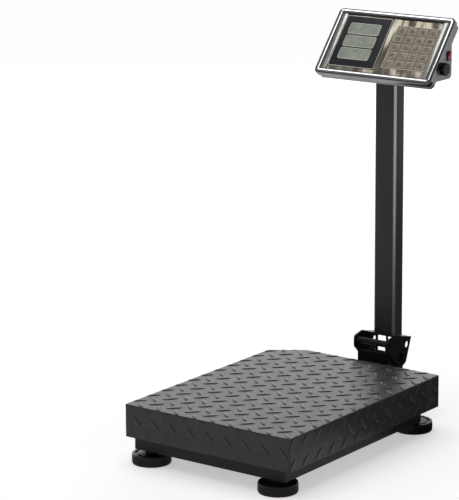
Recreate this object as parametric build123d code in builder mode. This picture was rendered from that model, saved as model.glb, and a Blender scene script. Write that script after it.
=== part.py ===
from build123d import *
import os
from math import cos, radians, sin, sqrt, tan

os.makedirs("parts", exist_ok=True)

# Millimetres. Sizes are taken from the floor under the centre of the deck;
# save() then puts the origin on the floor under the middle of the whole scale.
# +X to the operator's right, +Y to the rear (towards the column), +Z up.

# --- weighing deck -----------------------------------------------------------
deck_w, deck_d, deck_top = 300.0, 400.0, 89.0
skirt_h, deck_sheet, deck_corner = 50.0, 3.0, 3.0
clip_w, clip_d = 52.5, 35.0             # clipped rear left corner

# --- base frame, folded channels open at the bottom ---------------------------
frame_w, frame_d = 274.0, 386.0
rail_w, rail_h, rail_wall, rail_under = 25.0, 17.0, 2.0, 20.0
rear_cut_x, rear_cut_y = 16.0, 25.0
rail_top = rail_under + rail_h
bridge_w, bridge_t = 60.0, 4.0
arm_w, arm_h, arm_wall, arm_rear = 60.0, 17.0, 2.5, 318.0
arm_top = rail_under + arm_h

# --- load cell and spider -----------------------------------------------------
cell_w, cell_len, cell_h = 30.0, 130.0, 22.0
cell_pad, cell_pad_len = 3.0, 28.0
cell_bore, cell_bore_gap = 14.0, 18.0
cell_bolt, cell_bolt_pitch, cell_bolt_end = 6.0, 13.0, 9.0
cell_head_d, cell_head_h, cell_thread = 10.0, 4.0, 13.0
bolt_fit = 0.1
spider_wall, spider_w, spider_len = 3.0, 40.0, 320.0
arm_span, arm_width, arm_pitch = 276.0, 30.0, 260.0
pad_d, stop_d, stop_nut, stop_nut_h, stop_gap = 16.0, 8.0, 13.0, 6.5, 1.0
deck_under = deck_top - deck_sheet
cell_under = rail_top + bridge_t + cell_pad
cell_top = cell_under + cell_h
spider_under = cell_top + cell_pad
pad_gap = 3.0                           # pads stand this far above the channel
spider_top = deck_under - pad_gap

# --- levelling feet -----------------------------------------------------------
foot_d, foot_h, foot_x, foot_y = 58.6, 15.2, 115.5, 180.5
foot_groove_in, foot_groove_out, foot_groove = 21.0, 25.0, 1.6
stem_d, stem_top, stem_fit = 10.0, 36.5, 0.1
foot_nut, foot_nut_h = 17.0, 6.0

# --- folding hinge ------------------------------------------------------------
pivot_y, pivot_z, pin_d, pin_fit = 242.0, 108.0, 6.0, 0.1
barrel_d, fixed_w, fixed_t = 10.5, 57.2, 3.0
side_gap, cheek_t = 0.4, 3.0            # moving cheeks run outside the fixed ones
web_y, web_top = 241.0, 88.5
fixed_rear, fixed_low, saddle_slope = 302.0, 54.0, 0.74
waist_y, waist_z, seat_lip = 285.0, 59.5, 4.5
bar_d = 7.0
tie_y, tie_z, tie_d, tie_nut, tie_nut_h = 279.5, 80.5, 8.0, 12.0, 4.0
plate_front, plate_rear, plate_t = 256.0, 303.0, 3.0
plate_high, plate_low = 120.0, 109.0    # top of the sloping plate, front and rear
window_y, window_high, window_d = 292.0, 98.0, 11.5
strap_spots, strap_t, strap_w = (-17.5, 1.9), 2.0, 4.0
pin_head_d, pin_head_h, run_gap = 9.0, 1.2, 0.3
cheek_toe, cheek_heel, cheek_drop = 8.5, 11.5, 13.5
lever_y, lever_z, lever_d, lever_fit = 294.0, 50.0, 8.0, 0.1
finger_len, finger_w, finger_t, finger_angle, finger_x = 36.0, 8.0, 8.0, 60.0, -8.0
crank_len, crank_t, crank_angle = 17.0, 5.0, 180.0
grip_d, grip_len = 14.0, 46.0
bracket_bolt, bracket_head, bracket_head_h, bracket_nut_h = 8.0, 13.0, 5.3, 6.5

# --- column -------------------------------------------------------------------
col_y, col_w, col_d, col_r, col_wall = 285.0, 40.0, 28.0, 6.0, 1.8
col_top, plug_h, plug_in = 519.0, 4.0, 20.0

# --- head ---------------------------------------------------------------------
face_rise, under_rise, tilt_rise, window_rise, rock_rise = 60.5, 15.0, 33.0, 42.0, 51.0
face_y, face_z, face_tilt = 266.7, col_top + face_rise, 50.2
head_w, head_l = 214.0, 120.5
bezel_t, bezel_r, bezel_lip, bezel_round = 8.0, 8.0, 2.5, 1.5
opening_w, opening_l = 191.0, 109.0
pocket_w, pocket_l = 205.0, 112.0
tray_inset, tray_depth, wall = 2.0, 18.0, 2.5
box_rear, box_under, box_r = 296.0, col_top + under_rise, 7.0
tilt_y, tilt_z, tilt_d, tilt_fit = 268.0, col_top + tilt_rise, 6.0, 0.1
neck_w, neck_lobe, neck_base, neck_base_y, neck_foot = 24.0, 6.2, 3.0, 284.0, 12.0
neck_slot_front, neck_slot_rear, neck_gap, ear_t = 265.0, 288.5, 1.0, 3.0
knob_d, knob_t, knob_lobe, knob_gap, knob_hub = 16.0, 8.0, 5.0, 1.0, 10.0
fascia_t, panel_t, film_t = 1.5, 1.2, 0.8
panel_u, panel_v, panel_w, panel_l = -45.5, 2.4, 85.0, 92.0
lcd_u, lcd_v, lcd_w, lcd_l, lcd_pitch, lcd_sink = -47.5, 25.6, 56.0, 19.0, 22.7, 0.3
pad_u, pad_v, film_w, film_l = 49.0, 0.0, 79.0, 77.0
key_w, key_l, key_px, key_py, key_gap = 16.0, 12.0, 19.0, 14.8, 0.15
key_rise, key_h, key_stem, key_stem_d, key_cols, key_rows = 0.6, 6.4, 1.3, 4.0, 4, 5
board_w, board_l, board_t, board_back = 180.0, 102.0, 1.6, 11.1
boss_d, boss_u, boss_v, post_d, post_u, post_v = 6.0, 86.0, 47.0, 7.0, 97.0, 50.0
screw_d, screw_head, screw_head_h, screw_reach = 3.0, 6.0, 2.0, 8.0
window_w, window_h, window_z, window_t, window_sink = 150.0, 34.0, col_top + window_rise, 1.6, 0.4
rear_lcd_w, rear_lcd_h, rear_lcd_t, rear_lcd_x = 56.0, 21.0, 4.0, 37.0
batt_x, batt_y, batt_w, batt_d, batt_h = -67.0, 276.0, 50.0, 22.0, 19.0
rock_y, rock_z, rock_w, rock_h, rock_rim, rock_t = 286.0, col_top + rock_rise, 8.0, 13.0, 1.0, 1.0
rock_body, rock_cavity, paddle_gap, paddle_lean = 14.0, 8.0, 0.4, 6.0

tilt = radians(face_tilt)
face = Plane(origin=(0, face_y, face_z), x_dir=(1, 0, 0), z_dir=(0, -sin(tilt), cos(tilt)))


# The origin is moved to the middle of the overall box when a part is saved.
origin_y = (arm_rear - foot_y - foot_d / 2) / 2


def save(part, name):
    placed = Pos(0, -origin_y, 0) * part
    placed.label = name
    export_step(placed, "parts/" + name + ".step")


def on_face(v, w):
    """Y and Z of a point v up the face and w in front of it."""
    return (face_y + v * cos(tilt) - w * sin(tilt), face_z + v * sin(tilt) + w * cos(tilt))


def face_depth(y, z):
    return -(y - face_y) * sin(tilt) + (z - face_z) * cos(tilt)


def behind_face(y=None, z=None, w=0.0):
    """Y and Z where the plane w in front of the face meets the given Y or Z."""
    y0, z0 = on_face(0, w)
    if y is None:
        return (y0 + (z - z0) / tan(tilt), z)
    return (y, z0 + (y - y0) * tan(tilt))


def side_profile(points):
    """Closed outline in the Y-Z plane, first axis Y and second axis Z."""
    with BuildLine() as line:
        Polyline(*points, close=True)
    return line.line


def deck_outline(inset):
    w, d = deck_w / 2 - inset, deck_d / 2 - inset
    slope = sqrt(clip_w ** 2 + clip_d ** 2)
    cw = clip_w + inset * ((slope - clip_d) / clip_w - 1)
    cd = clip_d + inset * ((slope - clip_w) / clip_d - 1)
    cw, cd = max(cw, clip_w * 0.5), max(cd, clip_d * 0.5)
    return [(-w, -d), (w, -d), (w, d), (-w + cw, d), (-w, d - cd)]


# --- base frame ---------------------------------------------------------------
foot_spots = [(sx * foot_x, sy * foot_y) for sx in (-1, 1) for sy in (-1, 1)]
stop_spots = [(sx * (frame_w - rail_w) / 2, sy * arm_pitch / 2) for sx in (-1, 1) for sy in (-1, 1)]
side_len = frame_d - 2 * rail_w

with BuildPart() as side_rails:
    for sx in (-1, 1):
        with Locations((sx * (frame_w - rail_w) / 2, 0, rail_under)):
            Box(rail_w, side_len, rail_h, align=(Align.CENTER, Align.CENTER, Align.MIN))
    for sx in (-1, 1):
        with Locations((sx * (frame_w - rail_w) / 2, 0, rail_under)):
            Box(rail_w - 2 * rail_wall, side_len, rail_h - rail_wall,
                align=(Align.CENTER, Align.CENTER, Align.MIN), mode=Mode.SUBTRACT)
    with Locations(*[(x, y, rail_under) for x, y in stop_spots]):
        Cylinder((stop_d + bolt_fit) / 2, rail_h, align=(Align.CENTER, Align.CENTER, Align.MIN),
                 mode=Mode.SUBTRACT)
save(side_rails.part, "side_rails")

hw, hd = frame_w / 2, frame_d / 2
with BuildPart() as cross_rails:
    with Locations((0, -hd + rail_w / 2, rail_under)):
        Box(frame_w, rail_w, rail_h, align=(Align.CENTER, Align.CENTER, Align.MIN))
        Box(frame_w - 2 * rail_wall, rail_w - 2 * rail_wall, rail_h - rail_wall,
            align=(Align.CENTER, Align.CENTER, Align.MIN), mode=Mode.SUBTRACT)
    with BuildSketch(Plane.XY.offset(rail_under)) as rear_plan:
        Polygon((-hw, hd - rail_w), (hw, hd - rail_w), (hw - rear_cut_x, hd - rail_w + rear_cut_y),
                (-hw + rear_cut_x, hd - rail_w + rear_cut_y), align=None)
    extrude(amount=rail_h)
    with BuildSketch(Plane.XY.offset(rail_under)):
        offset(rear_plan.sketch, amount=-rail_wall, kind=Kind.INTERSECTION)
    extrude(amount=rail_h - rail_wall, mode=Mode.SUBTRACT)
    with Locations(*[(x, y, rail_under) for x, y in foot_spots]):
        Cylinder((stem_d + stem_fit) / 2, rail_h, align=(Align.CENTER, Align.CENTER, Align.MIN),
                 mode=Mode.SUBTRACT)
save(cross_rails.part, "cross_rails")

# bolts that hold the fixed hinge bracket down on the arm
fixed_front = web_y
bolt_rows = (fixed_front + 18.0, fixed_front + 38.0)
bracket_spots = [(sx * fixed_w / 4, y) for sx in (-1, 1) for y in bolt_rows]

with BuildPart() as column_arm:
    with Locations((0, hd, rail_under)):
        Box(arm_w, arm_rear - hd, arm_h, align=(Align.CENTER, Align.MIN, Align.MIN))
        Box(arm_w - 2 * arm_wall, arm_rear - hd - arm_wall, arm_h - arm_wall,
            align=(Align.CENTER, Align.MIN, Align.MIN), mode=Mode.SUBTRACT)
    with Locations(*[(x, y, rail_under) for x, y in bracket_spots]):
        Cylinder((bracket_bolt + bolt_fit) / 2, arm_h, align=(Align.CENTER, Align.CENTER, Align.MIN),
                 mode=Mode.SUBTRACT)
save(column_arm.part, "column_arm")

# --- load cell stack ----------------------------------------------------------
low_bolts = [(0, cell_len / 2 - cell_bolt_end - i * cell_bolt_pitch) for i in (0, 1)]
top_bolts = [(0, -y) for x, y in low_bolts]

with BuildPart() as bridge_plate:
    with Locations((0, 0, rail_top)):
        Box(bridge_w, frame_d - 2 * rail_wall, bridge_t, align=(Align.CENTER, Align.CENTER, Align.MIN))
    with Locations(*[(x, y, rail_top) for x, y in low_bolts]):
        Cylinder((cell_bolt + bolt_fit) / 2, bridge_t, align=(Align.CENTER, Align.CENTER, Align.MIN),
                 mode=Mode.SUBTRACT)
save(bridge_plate.part, "bridge_plate")

with BuildPart() as load_cell:
    with Locations((0, 0, cell_under)):
        Box(cell_w, cell_len, cell_h, align=(Align.CENTER, Align.CENTER, Align.MIN))
    with BuildSketch(Plane.YZ.offset(-cell_w / 2)):
        with Locations((0, cell_under + cell_h / 2)):
            with GridLocations(cell_bore_gap, 1, 2, 1):
                Circle(cell_bore / 2)
            Rectangle(cell_bore_gap, cell_bore / 3)
    extrude(amount=cell_w, mode=Mode.SUBTRACT)
    with Locations(*[(x, y, cell_under) for x, y in low_bolts]):
        Cylinder((cell_bolt + bolt_fit) / 2, cell_thread + 1,
                 align=(Align.CENTER, Align.CENTER, Align.MIN), mode=Mode.SUBTRACT)
    with Locations(*[(x, y, cell_top) for x, y in top_bolts]):
        Cylinder((cell_bolt + bolt_fit) / 2, cell_thread + 1,
                 align=(Align.CENTER, Align.CENTER, Align.MAX), mode=Mode.SUBTRACT)
save(load_cell.part, "load_cell")

pad_mid = cell_len / 2 - cell_pad_len / 2
with BuildPart() as cell_spacers:
    with Locations((0, pad_mid, cell_under - cell_pad), (0, -pad_mid, cell_top)):
        Box(cell_w, cell_pad_len, cell_pad, align=(Align.CENTER, Align.CENTER, Align.MIN))
    with Locations(*[(x, y, cell_under - cell_pad) for x, y in low_bolts],
                   *[(x, y, cell_top) for x, y in top_bolts]):
        Cylinder((cell_bolt + bolt_fit) / 2, cell_pad, align=(Align.CENTER, Align.CENTER, Align.MIN),
                 mode=Mode.SUBTRACT)
save(cell_spacers.part, "cell_spacers")

spider_floor = spider_under + spider_wall
low_len = bridge_t + cell_pad + cell_thread
top_len = spider_wall + cell_pad + cell_thread
with BuildPart() as cell_bolts:
    for x, y in low_bolts:
        with Locations((x, y, rail_top)):
            Cylinder(cell_head_d / 2, cell_head_h, align=(Align.CENTER, Align.CENTER, Align.MAX))
            Cylinder(cell_bolt / 2, low_len, align=(Align.CENTER, Align.CENTER, Align.MIN))
    for x, y in top_bolts:
        with Locations((x, y, spider_floor)):
            Cylinder(cell_head_d / 2, cell_head_h, align=(Align.CENTER, Align.CENTER, Align.MIN))
            Cylinder(cell_bolt / 2, top_len, align=(Align.CENTER, Align.CENTER, Align.MAX))
save(cell_bolts.part, "cell_bolts")

with BuildPart() as overload_stops:
    for x, y in stop_spots:
        with Locations((x, y, rail_top - rail_wall - 3)):
            Cylinder(stop_d / 2, spider_under - stop_gap - (rail_top - rail_wall - 3),
                     align=(Align.CENTER, Align.CENTER, Align.MIN))
        with BuildSketch(Plane.XY.offset(rail_top)):
            with Locations((x, y)):
                RegularPolygon(stop_nut / 2, 6, major_radius=False)
        extrude(amount=stop_nut_h)
save(overload_stops.part, "overload_stops")

with BuildPart() as deck_spider:
    spider_h = spider_top - spider_under
    with Locations((0, 0, spider_under)):
        Box(spider_w, spider_len, spider_h, align=(Align.CENTER, Align.CENTER, Align.MIN))
    with Locations((0, arm_pitch / 2, spider_under), (0, -arm_pitch / 2, spider_under)):
        Box(arm_span, arm_width, spider_h, align=(Align.CENTER, Align.CENTER, Align.MIN))
    with Locations((0, 0, spider_floor)):
        Box(spider_w - 2 * spider_wall, spider_len - 2 * spider_wall, spider_h,
            align=(Align.CENTER, Align.CENTER, Align.MIN), mode=Mode.SUBTRACT)
    with Locations((0, arm_pitch / 2, spider_floor), (0, -arm_pitch / 2, spider_floor)):
        Box(arm_span - 2 * spider_wall, arm_width - 2 * spider_wall, spider_h,
            align=(Align.CENTER, Align.CENTER, Align.MIN), mode=Mode.SUBTRACT)
    with Locations(*[(x, y, spider_under) for x, y in top_bolts]):
        Cylinder((cell_bolt + bolt_fit) / 2, spider_wall, align=(Align.CENTER, Align.CENTER, Align.MIN),
                 mode=Mode.SUBTRACT)
save(deck_spider.part, "deck_spider")

with BuildPart() as deck_pads:
    with Locations(*[(x, y, spider_floor) for x, y in stop_spots]):
        Cylinder(pad_d / 2, deck_under - spider_floor, align=(Align.CENTER, Align.CENTER, Align.MIN))
save(deck_pads.part, "deck_pads")

with BuildPart() as deck_plate:
    with BuildSketch(Plane.XY.offset(deck_top - skirt_h)) as deck_plan:
        Polygon(*deck_outline(0), align=None)
        fillet(deck_plan.vertices(), deck_corner)
    extrude(amount=skirt_h)
    fillet(deck_plate.faces().sort_by(Axis.Z)[-1].edges(), deck_corner / 2)
    with BuildSketch(Plane.XY.offset(deck_top - skirt_h)):
        Polygon(*deck_outline(deck_sheet), align=None)
    extrude(amount=skirt_h - deck_sheet, mode=Mode.SUBTRACT)
save(deck_plate.part, "deck_plate")

# --- feet ---------------------------------------------------------------------
with BuildPart() as foot_nuts:
    for x, y in foot_spots:
        with BuildSketch(Plane.XY.offset(rail_top - rail_wall - foot_nut_h)):
            with Locations((x, y)):
                RegularPolygon(foot_nut / 2, 6, major_radius=False)
                Circle((stem_d + stem_fit) / 2, mode=Mode.SUBTRACT)
        extrude(amount=foot_nut_h)
save(foot_nuts.part, "foot_nuts")


def foot(x, y, name):
    with BuildPart(Plane.XY) as one:
        with Locations((x, y, 0)):
            Cylinder(foot_d / 2, foot_h, align=(Align.CENTER, Align.CENTER, Align.MIN))
        fillet(one.edges().filter_by(GeomType.CIRCLE), 1.0)
        with BuildSketch(Plane.XY.offset(foot_h)):
            with Locations((x, y)):
                Circle(foot_groove_out)
                Circle(foot_groove_in, mode=Mode.SUBTRACT)
        extrude(amount=-foot_groove, mode=Mode.SUBTRACT)
        with Locations((x, y, foot_h)):
            Cylinder(stem_d / 2, stem_top - foot_h, align=(Align.CENTER, Align.CENTER, Align.MIN))
        with BuildSketch(Plane.XY.offset(foot_h)):
            with Locations((x, y)):
                RegularPolygon(foot_nut / 2, 6, major_radius=False)
        extrude(amount=stem_d / 3)
    save(one.part, name)


foot(-foot_x, -foot_y, "foot_front_left")
foot(foot_x, -foot_y, "foot_front_right")
foot(-foot_x, foot_y, "foot_rear_left")
foot(foot_x, foot_y, "foot_rear_right")

# --- fixed half of the hinge --------------------------------------------------
flange_t = fixed_t
fixed_foot = arm_top + flange_t
ear_y = pivot_y + barrel_d / 2 + 3.0
saddle_top = tie_z + (tie_y - (ear_y + 4.0)) * saddle_slope
with BuildPart() as hinge_bracket:
    with Locations((0, fixed_front, arm_top)):
        Box(fixed_w, arm_rear - 6.0 - fixed_front, flange_t, align=(Align.CENTER, Align.MIN, Align.MIN))
        Box(fixed_w, fixed_t, web_top - arm_top, align=(Align.CENTER, Align.MIN, Align.MIN))
    for x in (-fixed_w / 2, fixed_w / 2 - fixed_t):
        with BuildSketch(Plane.YZ.offset(x)):
            Polygon((fixed_front, arm_top), (fixed_rear, arm_top), (fixed_rear, fixed_low),
                    (waist_y, waist_z), (waist_y, tie_z - seat_lip), (tie_y, tie_z), (ear_y + 4.0, saddle_top), (ear_y, pivot_z - barrel_d / 2),
                    (pivot_y + barrel_d / 2, pivot_z), (pivot_y - barrel_d / 2, pivot_z),
                    (pivot_y - barrel_d / 2, pivot_z - barrel_d / 2), (fixed_front, web_top), align=None)
        extrude(amount=fixed_t)
    with BuildSketch(Plane.YZ.offset(-fixed_w / 2)):
        with Locations((pivot_y, pivot_z)):
            Circle(barrel_d / 2)
        with Locations((web_y + bar_d / 2, web_top + bar_d / 2 - 0.5)):
            Circle(bar_d / 2)
    extrude(amount=fixed_w)
    with BuildSketch(Plane.YZ.offset(-fixed_w)):
        with Locations((pivot_y, pivot_z)):
            Circle((pin_d + pin_fit) / 2)
        with Locations((tie_y, tie_z)):
            Circle((tie_d + pin_fit) / 2)
        with Locations((lever_y, lever_z)):
            Circle((lever_d + lever_fit) / 2)
    extrude(amount=2 * fixed_w, mode=Mode.SUBTRACT)
    with Locations(*[(x, y, arm_top) for x, y in bracket_spots]):
        Cylinder((bracket_bolt + bolt_fit) / 2, flange_t, align=(Align.CENTER, Align.CENTER, Align.MIN),
                 mode=Mode.SUBTRACT)
save(hinge_bracket.part, "hinge_bracket")

with BuildPart() as bracket_bolts:
    for x, y in bracket_spots:
        with BuildSketch(Plane.XY.offset(fixed_foot)):
            with Locations((x, y)):
                RegularPolygon(bracket_head / 2, 6, major_radius=False)
        extrude(amount=bracket_head_h)
        with BuildSketch(Plane.XY.offset(arm_top - arm_wall - bracket_nut_h)):
            with Locations((x, y)):
                RegularPolygon(bracket_head / 2, 6, major_radius=False)
        extrude(amount=bracket_nut_h)
        with Locations((x, y, fixed_foot)):
            Cylinder(bracket_bolt / 2, flange_t + arm_wall + bracket_nut_h + 2,
                     align=(Align.CENTER, Align.CENTER, Align.MAX))
save(bracket_bolts.part, "bracket_bolts")

cheek_in = fixed_w / 2 + side_gap
cheek_out = cheek_in + cheek_t
with BuildPart() as hinge_pin:
    with BuildSketch(Plane.YZ.offset(-cheek_out - run_gap)):
        with Locations((pivot_y, pivot_z)):
            Circle(pin_d / 2)
    extrude(amount=2 * (cheek_out + run_gap))
    for x in (-cheek_out - run_gap - pin_head_h, cheek_out + run_gap):
        with BuildSketch(Plane.YZ.offset(x)):
            with Locations((pivot_y, pivot_z)):
                Circle(pin_head_d / 2)
        extrude(amount=pin_head_h)
save(hinge_pin.part, "hinge_pin")

# --- moving half of the hinge -------------------------------------------------
slope = (plate_high - plate_low) / (plate_rear - plate_front)
with BuildPart() as column_bracket:
    for x in (-cheek_out, cheek_in):
        with BuildSketch(Plane.YZ.offset(x)) as cheek:
            Polygon((plate_front, plate_high), (plate_rear + 1, plate_low - slope),
                    (tie_y + cheek_toe, tie_z - cheek_drop), (tie_y - cheek_heel, tie_z - cheek_drop - 2.0),
                    (pivot_y - 7.5, pivot_z - 10.0), (pivot_y - 7.5, pivot_z + 7.5), align=None)
            fillet(cheek.vertices().filter_by(lambda v: v.Y < tie_z), 11.0)
            fillet(cheek.vertices().filter_by(lambda v: v.X < pivot_y - 7), 5.0)
        extrude(amount=cheek_t)
    with BuildSketch(Plane.YZ.offset(-cheek_out)):
        Polygon((plate_front, plate_high - plate_t), (plate_rear, plate_low - plate_t),
                (plate_rear, plate_low), (plate_front, plate_high), align=None)
    extrude(amount=2 * cheek_out)
    strap_top = plate_high - (tie_y - plate_front) * slope - plate_t / 2
    with Locations(*[(x, tie_y, strap_top) for x in strap_spots]):
        Box(strap_t, strap_w, strap_top - tie_z, align=(Align.CENTER, Align.CENTER, Align.MAX))
    with BuildSketch(Plane.YZ.offset(-2 * cheek_out)):
        with Locations((pivot_y, pivot_z)):
            Circle((pin_d + pin_fit) / 2)
        with Locations((tie_y, tie_z)):
            Circle(tie_d / 2)
        with Locations((window_y, window_high)):
            Circle(window_d / 2)
    extrude(amount=4 * cheek_out, mode=Mode.SUBTRACT)
save(column_bracket.part, "column_bracket")

with BuildPart() as tie_rod:
    with BuildSketch(Plane.YZ.offset(-cheek_out - tie_nut_h)):
        with Locations((tie_y, tie_z)):
            Circle(tie_d / 2)
    extrude(amount=2 * (cheek_out + tie_nut_h))
    for x in (-cheek_out - tie_nut_h, cheek_out):
        with BuildSketch(Plane.YZ.offset(x)):
            with Locations((tie_y, tie_z)):
                RegularPolygon(tie_nut / 2, 6, major_radius=False)
        extrude(amount=tie_nut_h)
save(tie_rod.part, "tie_rod")

# --- locking lever ------------------------------------------------------------
crank_x = cheek_out + tie_nut_h + 2.0
finger_dir = (cos(radians(finger_angle)), sin(radians(finger_angle)))
crank_y = lever_y + crank_len * cos(radians(crank_angle))
crank_z = lever_z + crank_len * sin(radians(crank_angle))
with BuildPart() as lock_lever:
    with BuildSketch(Plane.YZ.offset(-fixed_w / 2 - 2)):
        with Locations((lever_y, lever_z)):
            Circle(lever_d / 2)
    extrude(amount=fixed_w / 2 + 2 + crank_x + crank_t)
    with BuildSketch(Plane.YZ.offset(finger_x - finger_t / 2)):
        with Locations((lever_y, lever_z)):
            Circle(lever_d)
        with Locations(Location((lever_y + finger_dir[0] * finger_len / 2,
                                 lever_z + finger_dir[1] * finger_len / 2), finger_angle)):
            SlotOverall(finger_len + finger_w, finger_w)
    extrude(amount=finger_t)
    with BuildSketch(Plane.YZ.offset(crank_x)):
        with Locations(Location(((lever_y + crank_y) / 2, (lever_z + crank_z) / 2), crank_angle)):
            SlotOverall(crank_len + 1.6 * lever_d, 1.6 * lever_d)
    extrude(amount=crank_t)
    with BuildSketch(Plane.YZ.offset(crank_x)):
        with Locations((crank_y, crank_z)):
            Circle(lever_d / 2)
    extrude(amount=crank_t + grip_len)
save(lock_lever.part, "lock_lever")

with BuildPart() as lever_grip:
    with BuildSketch(Plane.YZ.offset(crank_x + crank_t)):
        with Locations((crank_y, crank_z)):
            Circle(grip_d / 2)
    extrude(amount=grip_len + 2)
    fillet(lever_grip.edges().filter_by(GeomType.CIRCLE).sort_by(Axis.X)[-1:], 2.0)
    with BuildSketch(Plane.YZ.offset(crank_x + crank_t)):
        with Locations((crank_y, crank_z)):
            Circle(lever_d / 2)
    extrude(amount=grip_len, mode=Mode.SUBTRACT)
save(lever_grip.part, "lever_grip")

# --- column -------------------------------------------------------------------
with BuildPart() as column_tube:
    with BuildSketch(Plane.XY.offset(plate_low - 10)):
        with Locations((0, col_y)):
            RectangleRounded(col_w, col_d, col_r)
            RectangleRounded(col_w - 2 * col_wall, col_d - 2 * col_wall, col_r - col_wall,
                             mode=Mode.SUBTRACT)
    extrude(amount=col_top - plate_low + 10)
    with BuildSketch(Plane.YZ.offset(-col_w)):
        far = col_y + col_d
        Polygon((plate_front, plate_low - 20), (plate_front, plate_high),
                (far, plate_high - (far - plate_front) * slope), (far, plate_low - 20), align=None)
    extrude(amount=2 * col_w, mode=Mode.SUBTRACT)
save(column_tube.part, "column_tube")

with BuildPart() as column_plug:
    with BuildSketch(Plane.XY.offset(col_top)):
        with Locations((0, col_y)):
            RectangleRounded(col_w, col_d, col_r)
    extrude(amount=plug_h)
    with BuildSketch(Plane.XY.offset(col_top)):
        with Locations((0, col_y)):
            RectangleRounded(col_w - 2 * col_wall, col_d - 2 * col_wall, col_r - col_wall)
    extrude(amount=-plug_in)
save(column_plug.part, "column_plug")

# --- neck that carries the head -----------------------------------------------
neck_under = col_top + plug_h
with BuildPart() as head_neck:
    with Locations((0, col_y, neck_under)):
        Box(col_w - 4, col_d - 4, neck_base, align=(Align.CENTER, Align.CENTER, Align.MIN))
    with BuildSketch(Plane.YZ.offset(-neck_w / 2)):
        ny, nz = tilt_y - neck_base_y, tilt_z - neck_under
        length = sqrt(ny ** 2 + nz ** 2)
        dy, dz = -nz / length, ny / length
        half = neck_foot / 2
        Polygon((neck_base_y - half, neck_under), (neck_base_y + half, neck_under),
                (tilt_y - dy * neck_lobe, tilt_z - dz * neck_lobe),
                (tilt_y + dy * neck_lobe, tilt_z + dz * neck_lobe), align=None)
        with Locations((tilt_y, tilt_z)):
            Circle(neck_lobe)
    extrude(amount=neck_w)
    with BuildSketch(Plane.YZ.offset(-neck_w)):
        with Locations((tilt_y, tilt_z)):
            Circle((tilt_d + tilt_fit) / 2)
    extrude(amount=2 * neck_w, mode=Mode.SUBTRACT)
save(head_neck.part, "head_neck")

# --- head shells --------------------------------------------------------------
with BuildPart() as head_bezel:
    with BuildSketch(face):
        RectangleRounded(head_w, head_l, bezel_r)
    extrude(amount=-bezel_t)
    top_face = head_bezel.faces().sort_by(lambda f: f.center().dot(face.z_dir))[-1]
    fillet(top_face.edges(), bezel_round)
    with BuildSketch(face):
        RectangleRounded(opening_w, opening_l, bezel_r / 2)
    extrude(amount=-bezel_t, mode=Mode.SUBTRACT)
    with BuildSketch(face.offset(-bezel_lip)):
        RectangleRounded(pocket_w, pocket_l, bezel_r / 2)
    extrude(amount=bezel_lip - bezel_t, mode=Mode.SUBTRACT)
save(head_bezel.part, "head_bezel")

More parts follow.
